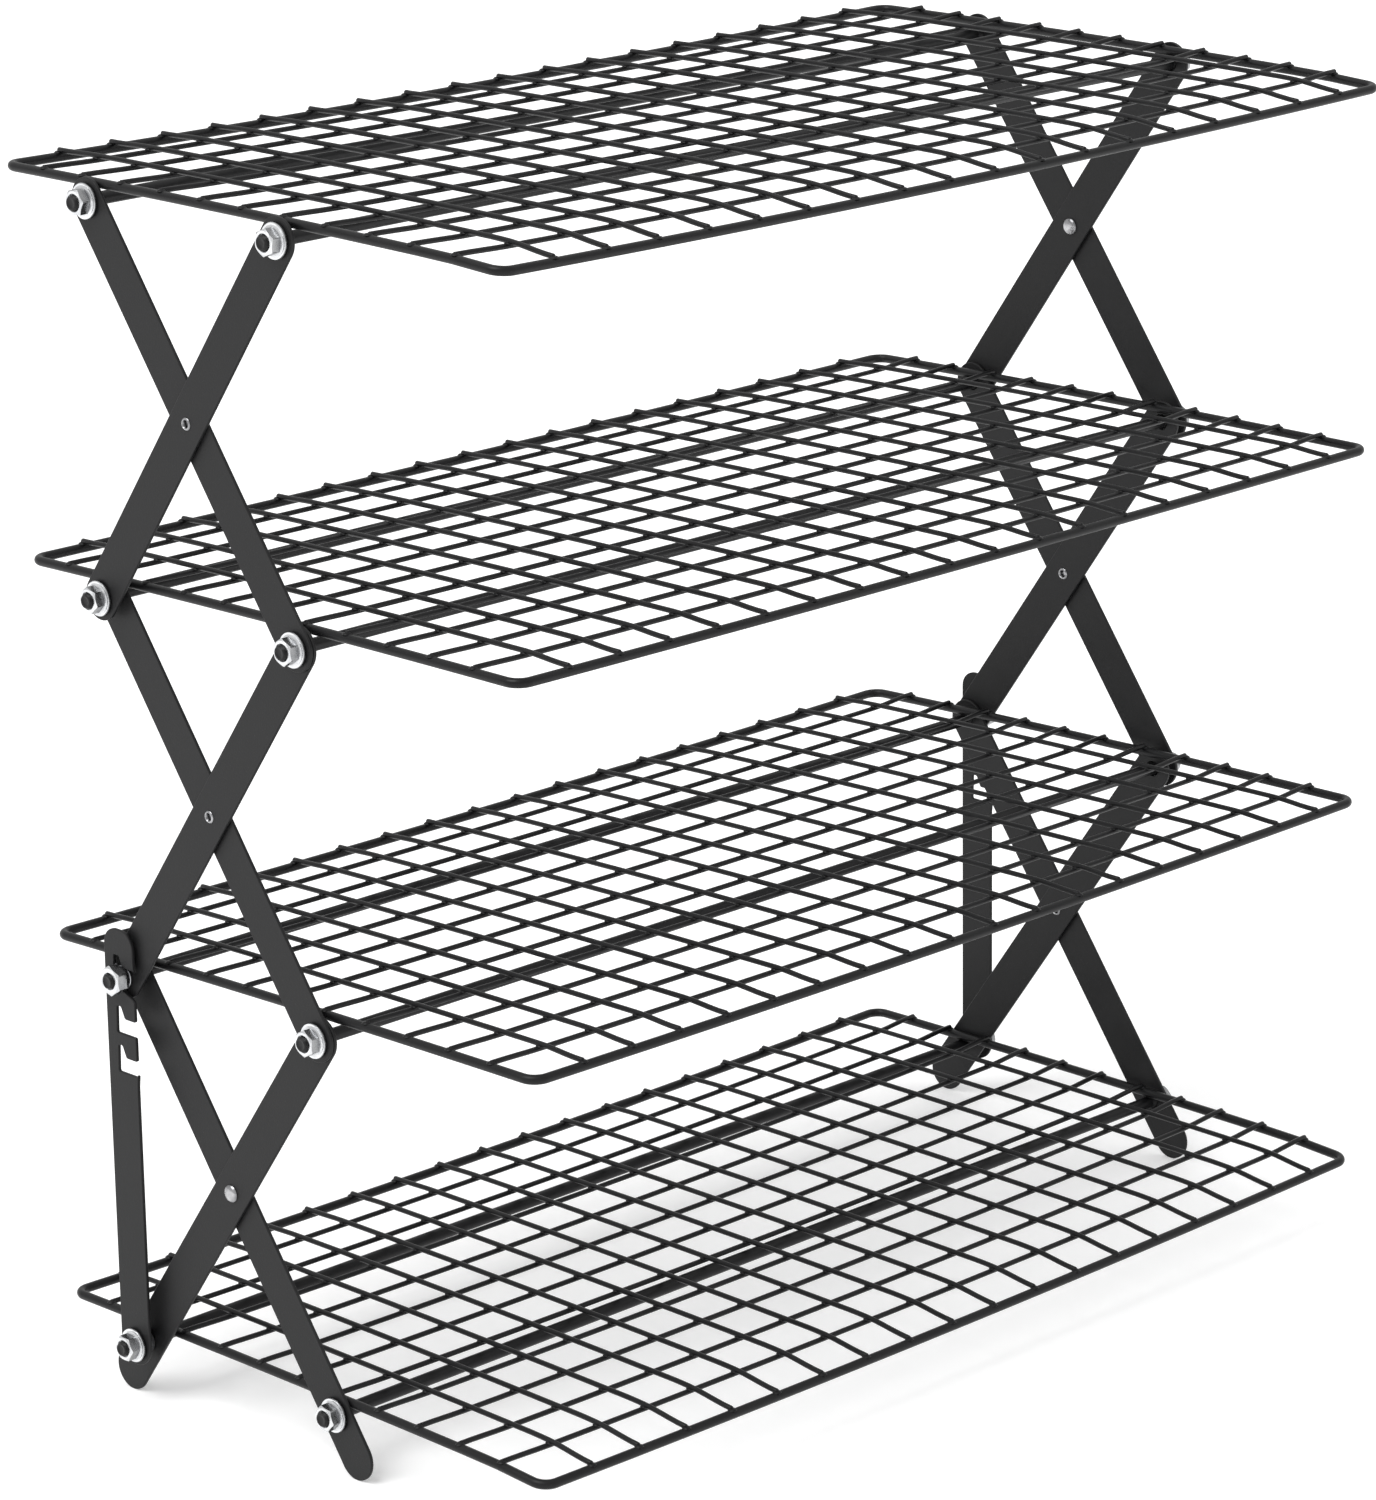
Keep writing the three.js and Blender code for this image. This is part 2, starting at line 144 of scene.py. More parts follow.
FLOOR_REACH = 14.0  # metres each way
CAMERA_AZIMUTH = -44.488  # degrees
CAMERA_ELEVATION = 16.59
CAMERA_ROLL = -0.853
CAMERA_PLACE = Vector((-1.3115, -1.3187, 0.7505))
SENSOR_WIDTH = 36  # mm, as is the lens
CAMERA_LENS = 148.75


def centre(node):
    low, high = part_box(node)
    return (low + high) / 2


def pivot(line, tier):
    """The axis of a cross rod, as a point in the rack's middle plane."""
    middle = centre(f"{line}_rod_{tier}")
    return Vector((0, middle.y, middle.z))


# ---- Materials ----------------------------------------------------------------------------


def new_material(name):
    material = bpy.data.materials.new(name)
    material.use_nodes = True
    nodes = material.node_tree.nodes
    return material, nodes, material.node_tree.links, nodes["Principled BSDF"]


def object_noise(nodes, links, scale, detail, roughness=0.55, stretch=(1, 1, 1)):
    """Noise in the piece's own coordinates, in features per metre."""
    place = nodes.new("ShaderNodeTexCoord")
    mapping = nodes.new("ShaderNodeMapping")
    mapping.inputs["Scale"].default_value = stretch
    noise = nodes.new("ShaderNodeTexNoise")
    noise.inputs["Scale"].default_value = scale
    noise.inputs["Detail"].default_value = detail
    noise.inputs["Roughness"].default_value = roughness
    links.new(place.outputs["Object"], mapping.inputs["Vector"])
    links.new(mapping.outputs["Vector"], noise.inputs["Vector"])
    return noise.outputs["Fac"]


def remap(nodes, links, value, low, high, start=0.3, end=0.7):
    """Maps the middle of a noise's range onto low to high."""
    node = nodes.new("ShaderNodeMapRange")
    node.inputs["From Min"].default_value = start
    node.inputs["From Max"].default_value = end
    node.inputs["To Min"].default_value = low
    node.inputs["To Max"].default_value = high
    links.new(value, node.inputs["Value"])
    return node.outputs["Result"]


def mix_colours(nodes, links, factor, first, second):
    node = nodes.new("ShaderNodeMix")
    node.data_type = "RGBA"
    for socket, value in ((node.inputs[6], first), (node.inputs[7], second)):
        if isinstance(value, tuple):
            socket.default_value = (*value, 1)
        else:
            links.new(value, socket)
    links.new(factor, node.inputs[0])
    return node.outputs[2]


def add_bump(nodes, links, height, strength, distance, under=None):
    node = nodes.new("ShaderNodeBump")
    node.inputs["Strength"].default_value = strength
    node.inputs["Distance"].default_value = distance
    links.new(height, node.inputs["Height"])
    if under is not None:
        links.new(under, node.inputs["Normal"])
    return node.outputs["Normal"]


PALE_SPECK = (0.07, 0.07, 0.073)
# painted shade for the plated parts' concave creases
PAINTED_CREASE_SHADE = (0.16, 0.16, 0.17)
# painted shade for the plated parts' faces that look away from X
PAINTED_SIDE_SHADE = (0.03, 0.03, 0.032)
PEEL_HEIGHT = 0.06 * MM
FINE_HEIGHT = 0.03 * MM


def powder_coat(name, dark, light, roughness, grain, sheen):
    """Black powder coat: a fine orange peel over a broad change of tone, with a few pale specks."""
    material, nodes, links, shader = new_material(name)
    cloud = object_noise(nodes, links, scale=55, detail=3)
    speck = object_noise(nodes, links, scale=2600, detail=2, roughness=0.7)
    tone = mix_colours(nodes, links, remap(nodes, links, cloud, 0, 1), dark, light)
    share = remap(nodes, links, speck, 0, 0.4, start=0.64, end=0.78)
    speckled = mix_colours(nodes, links, share, tone, PALE_SPECK)
    links.new(speckled, shader.inputs["Base Color"])
    links.new(remap(nodes, links, cloud, roughness - 0.05, roughness + 0.06), shader.inputs["Roughness"])
    peel = object_noise(nodes, links, scale=1500, detail=2, roughness=0.5)
    coarse = add_bump(nodes, links, peel, grain, PEEL_HEIGHT)
    grit = object_noise(nodes, links, scale=5200, detail=1)
    fine = add_bump(nodes, links, grit, grain * 0.6, FINE_HEIGHT, coarse)
    links.new(fine, shader.inputs["Normal"])
    shader.inputs["Specular IOR Level"].default_value = sheen
    return material


def plated_metal(name, bright, dull, roughness, streak, sides):
    """Plated steel: bright metal with turning marks and faint tarnish, with painted shade that darkens its
    creases.
    Faces that look away from the X axis get painted shade and keep only a part, sides, of the brightness."""
    material, nodes, links, shader = new_material(name)
    cloud = object_noise(nodes, links, scale=260, detail=4)
    marks = object_noise(nodes, links, scale=900, detail=3, roughness=0.6, stretch=(9, 1, 1))
    tarnish = remap(nodes, links, cloud, 0, 1, start=0.35, end=0.7)
    tone = mix_colours(nodes, links, tarnish, bright, dull)
    geometry = nodes.new("ShaderNodeNewGeometry")
    # painted shade: concave places, found by pointiness, are darkened towards a grey
    crease_shade = remap(nodes, links, geometry.outputs["Pointiness"], 0.75, 0, start=0.40, end=0.49)
    crease_shaded = mix_colours(nodes, links, crease_shade, tone, PAINTED_CREASE_SHADE)
    # painted shade: faces turned away from the X axis are darkened towards a grey, keeping only a part,
    # sides, of their brightness
    place = nodes.new("ShaderNodeTexCoord")
    split = nodes.new("ShaderNodeSeparateXYZ")
    links.new(place.outputs["Normal"], split.inputs["Vector"])
    along = nodes.new("ShaderNodeMath")
    along.operation = "ABSOLUTE"
    links.new(split.outputs["X"], along.inputs[0])
    away = remap(nodes, links, along.outputs[0], 1 - sides, 0, start=0.35, end=0.95)
    shaded = mix_colours(nodes, links, away, crease_shaded, PAINTED_SIDE_SHADE)
    links.new(shaded, shader.inputs["Base Color"])
    links.new(remap(nodes, links, marks, roughness - 0.07, roughness + 0.1), shader.inputs["Roughness"])
    links.new(add_bump(nodes, links, marks, streak, FINE_HEIGHT), shader.inputs["Normal"])
    shader.inputs["Metallic"].default_value = 1.0
    return material


materials = {
    "coated_wire": powder_coat(
        "wire_coat",
        dark=(0.0035, 0.0035, 0.004),
        light=(0.007, 0.007, 0.0075),
        roughness=0.38,
        grain=0.25,
        sheen=0.24,
    ),
    "coated_rod": powder_coat(
        "rod_coat",
        dark=(0.004, 0.004, 0.0045),
        light=(0.008, 0.008, 0.0085),
        roughness=0.4,
        grain=0.3,
        sheen=0.26,
    ),
    "coated_plate": powder_coat(
        "plate_coat",
        dark=(0.0075, 0.0075, 0.008),
        light=(0.013, 0.013, 0.0135),
        roughness=0.48,
        grain=0.5,
        sheen=0.25,
    ),
    "zinc_nut": plated_metal(
        "zinc_plate",
        bright=(0.84, 0.85, 0.86),
        dull=(0.62, 0.63, 0.65),
        roughness=0.24,
        streak=0.2,
        sides=0.38,
    ),
    "zinc_spacer": plated_metal(
        "zinc_spacer_plate",
        bright=(0.66, 0.67, 0.69),
        dull=(0.42, 0.43, 0.45),
        roughness=0.32,
        streak=0.4,
        sides=0.5,
    ),
    "rivet_steel": plated_metal(
        "rivet_plate",
        bright=(0.52, 0.52, 0.53),
        dull=(0.27, 0.27, 0.28),
        roughness=0.2,
        streak=0.2,
        sides=0.25,
    ),
}

# ---- Mesh helpers -------------------------------------------------------------------------


def finish_piece(name, bm, body, slot, node, sharp_angle, flat_sides=False):
    """Turns a bmesh into a named piece that rides on a body and stands for a CAD node.
    Edges over sharp_angle degrees stay sharp. With flat_sides, faces that look along X are
    shaded flat."""
    bmesh.ops.recalc_face_normals(bm, faces=bm.faces)
    mesh = bpy.data.meshes.new(name)
    bm.to_mesh(mesh)
    bm.free()
    mesh.shade_smooth()
    mesh.set_sharp_from_angle(angle=math.radians(sharp_angle))
    if flat_sides:
        for polygon in mesh.polygons:
            polygon.use_smooth = abs(polygon.normal.x) < 0.999
    mesh.materials.append(materials[slot])
    piece = bpy.data.objects.new(name, mesh)
    bpy.context.scene.collection.objects.link(piece)
    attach(piece, body)
    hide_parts(node)


def turns(sides):
    """Evenly spaced angles round a circle."""
    return [2 * math.pi * k / sides for k in range(sides)]


def add_ring(bm, points):
    return [bm.verts.new(point) for point in points]


def add_hoop(bm, middle, radius, sides):
    """A ring of points on a circle that faces along X."""
    spots = [Vector((0, radius * math.cos(t), radius * math.sin(t))) for t in turns(sides)]
    return add_ring(bm, [middle + spot for spot in spots])


def bridge(bm, first, second):
    count = len(first)
    for i in range(count):
        j = (i + 1) % count
        bm.faces.new((first[i], first[j], second[j], second[i]))


def bridge_all(bm, rings):
    for first, second in zip(rings, rings[1:]):
        bridge(bm, first, second)


def add_tube(bm, path, radii, sides, closed=False):
    """A round tube along a path that is never upright. radii holds one radius for each point."""
    count = len(path)
    rings = []
    for i, point in enumerate(path):
        before = path[i - 1] if closed or i > 0 else point
        after = path[(i + 1) % count] if closed or i < count - 1 else point
        along = (after - before).normalized()
        side = along.cross(Vector((0, 0, 1))).normalized()
        up = side.cross(along)
        spots = [radii[i] * (math.cos(t) * side + math.sin(t) * up) for t in turns(sides)]
        rings.append(add_ring(bm, [point + spot for spot in spots]))
    bridge_all(bm, rings)
    if closed:
        bridge(bm, rings[-1], rings[0])
    else:
        bm.faces.new(rings[0])
        bm.faces.new(rings[-1])


def add_wire(bm, path):
    """A shelf wire with slightly rounded cut ends."""
    first = (path[1] - path[0]).normalized()
    last = (path[-1] - path[-2]).normalized()
    soft = WIRE_CUT * WIRE_RADIUS
    start = [path[0], path[0] + first * soft * 0.4, path[0] + first * soft]
    end = [path[-1] - last * soft, path[-1] - last * soft * 0.4, path[-1]]
    points = start + path[1:-1] + end
    trim = [part * WIRE_RADIUS for part in CUT_RADII]
    add_tube(bm, points, trim + [WIRE_RADIUS] * (len(path) - 2) + trim[::-1], WIRE_SIDES)


def add_blob(bm, place, size, sides=8, bands=4):
    """A small ellipsoid."""
    rings = []
    for band in range(1, bands):
        tilt = math.pi * band / bands
        ring = []
        for turn in turns(sides):
            x = size.x * math.sin(tilt) * math.cos(turn)
            y = size.y * math.sin(tilt) * math.sin(turn)
            ring.append(place + Vector((x, y, size.z * math.cos(tilt))))
        rings.append(add_ring(bm, ring))
    bridge_all(bm, rings)
    for ring, height in ((rings[0], size.z), (rings[-1], -size.z)):
        pole = bm.verts.new(place + Vector((0, 0, height)))
        for i in range(sides):
            bm.faces.new((ring[i], ring[(i + 1) % sides], pole))


def as_given(along, radius, turn):
    return along, radius


def add_turned(bm, origin, side, profile, sides, placed=as_given):
    """A body of revolution along X, outward from origin. The profile is a closed loop of
    (distance, radius), and placed(distance, radius, turn) can change both with the turn."""
    rings = []
    for step in profile:
        ring = []
        for turn in turns(sides):
            along, radius = placed(*step, turn)
            offset = Vector((side * along, radius * math.cos(turn), radius * math.sin(turn)))
            ring.append(origin + offset)
        rings.append(add_ring(bm, ring))
    bridge_all(bm, rings + rings[:1])


def add_capped(bm, origin, side, profile, sides=24):
    """The same for an open profile whose two ends are closed by flat discs."""
    rings = []
    for along, radius in profile:
        spots = [Vector((side * along, radius * math.cos(t), radius * math.sin(t))) for t in turns(sides)]
        rings.append(add_ring(bm, [origin + spot for spot in spots]))
    bridge_all(bm, rings)
    bm.faces.new(rings[0])
    bm.faces.new(rings[-1])


# ---- Shelves ------------------------------------------------------------------------------


def rail_path(half_length, half_width, bow):
    """The rail's middle line, once round the shelf from its rear right corner."""
    path = []
    corners = ((1, 1, 0), (-1, 1, 1), (-1, -1, 2), (1, -1, 3))
    straight_steps = (26, 14, 26, 14)
    for (sx, sy, quarter), steps in zip(corners, straight_steps):
        middle = Vector((sx * (half_length - RAIL_CORNER), sy * (half_width - RAIL_CORNER), 0))
        for k in range(CORNER_STEPS + 1):
            turn = (quarter + k / CORNER_STEPS) * math.pi / 2
            path.append(middle + RAIL_CORNER * Vector((math.cos(turn), math.sin(turn), 0)))
        next_x, next_y, _ = corners[(quarter + 1) % 4]
        start = path[-1].copy()
        finish = Vector((next_x * (half_length - RAIL_CORNER), next_y * (half_width - RAIL_CORNER), 0))
        finish += RAIL_CORNER * (start - middle).normalized()
        path += [start.lerp(finish, k / steps) for k in range(1, steps)]
    return [point + Vector((0, 0, bow(point.x, point.y))) for point in path]


def wire_places(count, half_span):
    """Evenly spaced places between two rails, with a little jitter."""
    pitch = 2 * half_span / (count + 1)
    return [(-half_span + pitch * (i + 1)) + rng.uniform(-1, 1) * WIRE_JITTER for i in range(count)]


def near_end(place, last_crossing, end):
    """0 up to a wire's last crossing, rising to 1 at its end on the rail."""
    t = max(0.0, min(1.0, (abs(place) - last_crossing) / (end - last_crossing - END_ON_RAIL)))
    return t * t * (3 - 2 * t)


def build_shelf(tier):
    low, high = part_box(f"shelf_{tier}")
    half_length = high.x - RAIL_RADIUS
    half_width = high.y - RAIL_RADIUS
    base = Vector((0, 0, low.z + RAIL_RADIUS))
    bm = bmesh.new()

    slope = math.tan(math.radians(SHELF_TILT[tier]))
    rear_y = pivot("rear", tier).y
    slid_y = pivot("front", tier).y - FRONT_ROD_SLIDE
    droop_y = slid_y - DROOP_GAP
    if slope >= 0:
        level_y, drop = slid_y, FRONT_ROD_PLAY
    else:
        level_y, drop = rear_y, REAR_ROD_PLAY

    def bow(x, y):
        arch = SHELF_BOW * ((x / half_length) ** 2 - (y / half_width) ** 2)
        sag = SHELF_SAG[tier] * (1 - (x / half_length) ** 2)
        overhang = max(0.0, (droop_y - y) / (droop_y + half_width))
        return arch - sag + slope * (y - level_y) - drop - SHELF_DROOP[tier] * overhang**DROOP_POWER

    rail = [base + point for point in rail_path(half_length, half_width, bow)]
    seam = Vector((SEAM_PLACE * half_length, half_width, base.z))
    seam_reach = SEAM_REACH * half_length
    radii = [RAIL_RADIUS * (SEAM_SWELL if (point - seam).length < seam_reach else 1) for point in rail]
    add_tube(bm, rail, radii, RAIL_SIDES, closed=True)

    def on_shelf(x, y, rise):
        return base + Vector((x, y, rise + bow(x, y)))

    long_wires = wire_places(LONG_WIRES, half_width)
    cross_wires = wire_places(CROSS_WIRES, half_length)
    outer_x = max(abs(x) for x in cross_wires)
    for y in long_wires:
        reach = half_length + rng.uniform(*LONG_END_SPREAD) * MM
        path = []
        for k in range(LONG_STEPS + 1):
            x = -reach + 2 * reach * k / LONG_STEPS
            lift = LEFT_END_LIFT if x < 0 else RIGHT_END_LIFT
            path.append(on_shelf(x, y, LONG_WIRE_RISE + lift * near_end(x, outer_x, half_length)))
        add_wire(bm, path)
        for x in (-half_length, half_length):
            add_blob(bm, on_shelf(x, y, RAIL_WELD_RISE), RAIL_WELD_SIZE)

    outer_y = max(abs(y) for y in long_wires)
    for x in cross_wires:
        reach = half_width + rng.uniform(*CROSS_END_SPREAD) * MM
        path = []
        for k in range(CROSS_STEPS + 1):
            y = -reach + 2 * reach * k / CROSS_STEPS
            dip = FRONT_END_DIP if y < 0 else REAR_END_DIP
            path.append(on_shelf(x, y, CROSS_WIRE_RISE - dip * near_end(y, outer_y, half_width)))
        add_wire(bm, path)
        for y in long_wires:
            add_blob(bm, on_shelf(x, y, CROSSING_RISE), WELD_SIZE)
        for y in (-half_width, half_width):
            add_blob(bm, on_shelf(x, y, RAIL_WELD_RISE), RAIL_WELD_SIZE)
    finish_piece(f"wire_shelf_{tier}", bm, TIER_BODIES[tier], "coated_wire", f"shelf_{tier}", sharp_angle=60)


for tier in TIERS:
    build_shelf(tier)

# ---- Cross rods ---------------------------------------------------------------------------

ROD_BODIES = {
    ("rear", 1): TIER_BODIES[1],
    ("rear", 2): TIER_BODIES[2],
    ("rear", 3): TIER_BODIES[3],
    ("rear", 4): TIER_BODIES[4],
    ("front", 1): "lower_front_arms",
    ("front", 2): "lower_rear_arms",
    ("front", 3): "middle_rear_arms",
    ("front", 4): "upper_rear_arms",
}


def thread_rings(bm, origin, side, length, sides=24, steps_per_pitch=6):
    """A rolled thread from origin outward, with a chamfered, slightly hollow end."""
    steps = int(length / THREAD_PITCH * steps_per_pitch)
    rings = []
    for i in range(steps + 1):
        along = length * i / steps
        ring = []
        for k in range(sides):
            share = k / sides
            angle = 2 * math.pi * share
            phase = (along / THREAD_PITCH + side * share) % 1.0
            cut = min(1.0, max(0.0, FLANK_SLOPE * abs(2 * phase - 1) - CREST_FLAT))
            fade = min(1.0, along / THREAD_PITCH)
            radius = THREAD_RADIUS - THREAD_DEPTH * cut * fade
            radius = min(radius, THREAD_RADIUS - STUD_TIP_CUT + (length - along) * STUD_TIP_SLOPE)
            if along < THREAD_START * THREAD_PITCH:
                radius = min(radius, ROD_RADIUS + along)
            ring.append(origin + Vector((side * along, radius * math.cos(angle), radius * math.sin(angle))))
        rings.append(add_ring(bm, ring))
    for radius, rise in STUD_END:
        rings.append(add_hoop(bm, origin + Vector((side * (length + rise), 0, 0)), radius, sides))
    bridge_all(bm, rings)
    bm.faces.new(rings[-1])
    return rings[0]


def build_rod(line, tier):
    node = f"{line}_rod_{tier}"
    low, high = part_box(node)
    axis = pivot(line, tier)
    shelf_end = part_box(f"shelf_{tier}")[1].x
    start = shelf_end + SHELF_TO_THREAD
    bm = bmesh.new()
    left = thread_rings(bm, axis - Vector((start, 0, 0)), -1, -low.x - start)
    right = thread_rings(bm, axis + Vector((start, 0, 0)), 1, high.x - start)
    rings = [left]
    for i in range(ROD_STEPS + 1):
        x = -start + THREAD_TO_ROD + 2 * (start - THREAD_TO_ROD) * i / ROD_STEPS
        rings.append(add_hoop(bm, axis + Vector((x, 0, 0)), ROD_RADIUS, len(left)))
    rings.append(right)
    bridge_all(bm, rings)
    finish_piece(f"threaded_{node}", bm, ROD_BODIES[line, tier], "coated_rod", node, sharp_angle=50)


for tier in TIERS:
    for line in ("rear", "front"):
        build_rod(line, tier)

# ---- Nuts, washers and spacers ------------------------------------------------------------


def hexagon_radius(half_flat, turn):
    """A hexagon's reach in a direction, with softly rounded corners."""
    offset = (turn + math.pi / 6) % (math.pi / 3) - math.pi / 6
    return min(half_flat / math.cos(offset), half_flat * NUT_CORNER)


def nut_point(half_flat, height, turned_by):
    """Rings marked HEX take the hexagon's radius, and the top one falls towards the corners."""

    def place(along, radius, turn):
        if radius > 0:
            return along, radius
        reach = hexagon_radius(half_flat, turn + turned_by)
        if along < height:
            return along, reach
        fall = (reach - CHAMFER_START * half_flat) * math.tan(CHAMFER_ANGLE)
        return height - CHAMFER_LIP - fall, reach

    return place


HEX = -1.0  # marks a ring that follows the hexagon


def build_nut(node, body, flanged, turned_by):
    low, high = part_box(node)
    side = 1 if low.x > 0 else -1
    middle = (low + high) / 2
    inner = min(abs(low.x), abs(high.x))
    height = high.x - low.x
    origin = Vector((side * inner, middle.y, middle.z))
    seat = NUT_SEAT
    half_flat = NUT_FLAT if flanged else PLAIN_NUT_FLAT
    if flanged:
        foot = [
            (seat, 3.1 * MM),
            (seat, 5.45 * MM),
            (seat + 0.12 * MM, 5.72 * MM),
            (0.4 * MM, 5.86 * MM),
            (0.85 * MM, 5.86 * MM),
            (1.12 * MM, 5.72 * MM),
            (1.2 * MM, 5.45 * MM),
            (1.16 * MM, 5.1 * MM),
            (1.3 * MM, 4.78 * MM),
            (1.5 * MM, HEX),
        ]
    else:
        foot = [(seat, 3.0 * MM), (seat, NUT_FACE * half_flat), (seat + 0.18 * MM, HEX)]
    profile = foot + [
        (height - 0.9 * MM, HEX),
        (height, HEX),
        (height, NUT_FACE * half_flat),
        (height, 3.0 * MM),
        (height - 0.3 * MM, 2.7 * MM),
        (height - 0.42 * MM, NUT_BORE),
        (seat + 0.45 * MM, NUT_BORE),
    ]
    bm = bmesh.new()
    add_turned(bm, origin, side, profile, NUT_SIDES, nut_point(half_flat, height, turned_by))
    finish_piece(f"m5_{node}", bm, body, "zinc_nut", node, sharp_angle=24)


def build_ring(node, body, bore):
    """A spacer or a washer."""
    low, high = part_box(node)
    side = 1 if low.x > 0 else -1
    middle = (low + high) / 2
    length = high.x - low.x
    origin = Vector((side * min(abs(low.x), abs(high.x)), middle.y, middle.z))
    soft = RING_EDGE
    profile = [
        (0, bore + soft),
        (0, RING_RADIUS - soft),
        (soft, RING_RADIUS),
        (length - soft, RING_RADIUS),
        (length, RING_RADIUS - soft),
        (length, bore + soft),
        (length - soft, bore),
        (soft, bore),
    ]
    bm = bmesh.new()
    add_turned(bm, origin, side, profile, RING_SIDES)
    finish_piece(f"turned_{node}", bm, body, "zinc_spacer", node, sharp_angle=30)


for line, tier in ROD_BODIES:
    for end in ENDS:
        node = f"{line}_nut_{tier}_{end}"
        flanged = (line, tier) != ("rear", 2)
        turned_by = rng.uniform(0, math.pi / 3) if flanged else PLAIN_NUT_TURN
        build_nut(node, ROD_BODIES[line, tier], flanged, turned_by)

spacers = sorted(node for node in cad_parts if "_spacer_" in node)
for node in spacers:
    line, _, tier, _ = node.split("_")
    build_ring(node, ROD_BODIES[line, int(tier)], SPACER_BORE)
for end in ENDS:
    build_ring(f"latch_washer_{end}", "second_tier", WASHER_BORE)

# ---- Flat plates: arms and latch bars -----------------------------------------------------


def arc_points(middle, radius, start, finish, steps):
    """Points on an arc, from one angle to another, in degrees."""
    points = []
    for k in range(steps + 1):
        turn = math.radians(start + (finish - start) * k / steps)
        points.append((middle[0] + radius * math.cos(turn), middle[1] + radius * math.sin(turn)))
    return points


def circle_points(middle, radius, steps=32):
    return arc_points(middle, radius, 0, 360, steps)[:-1]


def plate_mesh(outlines, thickness):
    """A flat plate with holes and softly rounded edges, centred on its own middle plane.
    The first outline is the plate's, and the others are its holes."""
    curve = bpy.data.curves.new("outline", "CURVE")
    curve.dimensions = "2D"
    curve.fill_mode = "BOTH"
    curve.offset = -PLATE_EDGE
    curve.extrude = thickness / 2 - PLATE_EDGE
    curve.bevel_depth = PLATE_EDGE
    curve.bevel_resolution = 2
    for outline in outlines:
        spline = curve.splines.new("POLY")
        spline.points.add(len(outline) - 1)
        for point, (x, y) in zip(spline.points, outline):
            point.co = (x, y, 0, 1)
        spline.use_cyclic_u = True
    holder = bpy.data.objects.new("outline", curve)
    bpy.context.scene.collection.objects.link(holder)
    graph = bpy.context.evaluated_depsgraph_get()
    mesh = bpy.data.meshes.new_from_object(holder.evaluated_get(graph))
    bpy.data.objects.remove(holder)
    bpy.data.curves.remove(curve)
    bm = bmesh.new()
    bm.from_mesh(mesh)
    bpy.data.meshes.remove(mesh)
    bmesh.ops.remove_doubles(bm, verts=bm.verts, dist=SAME_PLACE)
    return bm


def stand_plate(bm, x, foot, along, facing=1):
    """Stands a plate in the rack: its own x runs along a direction in the YZ plane from foot,
    and its own z along +X, or along -X when facing is -1."""
    direction = Vector((0, along.y, along.z)).normalized()
    normal = Vector((facing, 0, 0))
    place = Matrix((direction, normal.cross(direction), normal)).transposed().to_4x4()
    place.translation = Vector((x, foot.y, foot.z))
    bmesh.ops.transform(bm, matrix=place, verts=bm.verts)


def finish_plate(node, bm, body):
    finish_piece(f"plate_{node}", bm, body, "coated_plate", node, sharp_angle=40, flat_sides=True)


def build_arm(stage, foot_line, end):
    node = f"{STAGES[stage]}_{foot_line}_arm_{end}"
    top_line = "front" if foot_line == "rear" else "rear"
    low_pivot = pivot(foot_line, stage + 1)
    top_pivot = pivot(top_line, stage + 2)
    rise = top_pivot - low_pivot
    length = rise.length
    foot_reach = (low_pivot.z - ARM_RADIUS) * length / rise.z if stage == 0 else 0
    outline = arc_points((length, 0), ARM_RADIUS, -90, 90, END_STEPS)
    outline += arc_points((-foot_reach, 0), ARM_RADIUS, 90, 270, END_STEPS)
    holes = [circle_points((0, 0), PIVOT_HOLE), circle_points((length, 0), PIVOT_HOLE)]
    holes.append(circle_points((length / 2, 0), RIVET_HOLE))
    low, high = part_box(node)
    bm = plate_mesh([outline] + holes, high.x - low.x)
    stand_plate(bm, (low.x + high.x) / 2, low_pivot, rise)
    finish_plate(node, bm, f"{STAGES[stage]}_{foot_line}_arms")


for stage in range(len(STAGES)):
    for foot_line in ("rear", "front"):
        for end in ENDS:
            build_arm(stage, foot_line, end)


def soften(points, radius, steps=5):
    """Rounds an outline's marked corners. Each point is (along, across, rounded or not)."""
    result = []
    count = len(points)
    for i, (x, y, rounding) in enumerate(points):
        if not rounding:
            result.append((x, y))
            continue
        here = Vector((x, y))
        before = Vector(points[i - 1][:2])
        after = Vector(points[(i + 1) % count][:2])
        reach = min(radius, 0.45 * (before - here).length, 0.45 * (after - here).length)
        first = here + (before - here).normalized() * reach
        last = here + (after - here).normalized() * reach
        for k in range(steps + 1):
            t = k / steps
            spot = first * (1 - t) ** 2 + here * 2 * t * (1 - t) + last * t**2
            result.append((spot.x, spot.y))
    return result


def free_notch(floor):
    """A hooked notch, as (height, reach forward) points from its mouth's lower lip to the upper."""
    edge = LATCH_HALF_WIDTH
    back = -FREE_NOTCH_DEPTH
    tongue = floor + 5.3 * MM
    crown = floor + 9.4 * MM
    return [
        (floor, edge, True),
        (floor, back, True),
        (crown, back + NOTCH_LEAN, True),
        (crown, 0, True),
        (tongue, TONGUE_TIP, True),
        (tongue, edge, True),
    ]


def hook_notch(stud):
    """The top notch, whose floor slopes down to its mouth, as the same points round the stud."""
    edge = LATCH_HALF_WIDTH
    back = -HOOK_DEPTH
    floor = stud - HOOK_DEPTH
    tongue = stud + 3.8 * MM
    crown = stud + 7.8 * MM
    return [
        (stud - 6.6 * MM, edge, True),
        (floor, 0, False),
        (floor, back, True),
        (crown, back + NOTCH_LEAN, True),
        (crown, 0, True),
        (tongue, TONGUE_TIP, True),
        (tongue, edge, True),
    ]


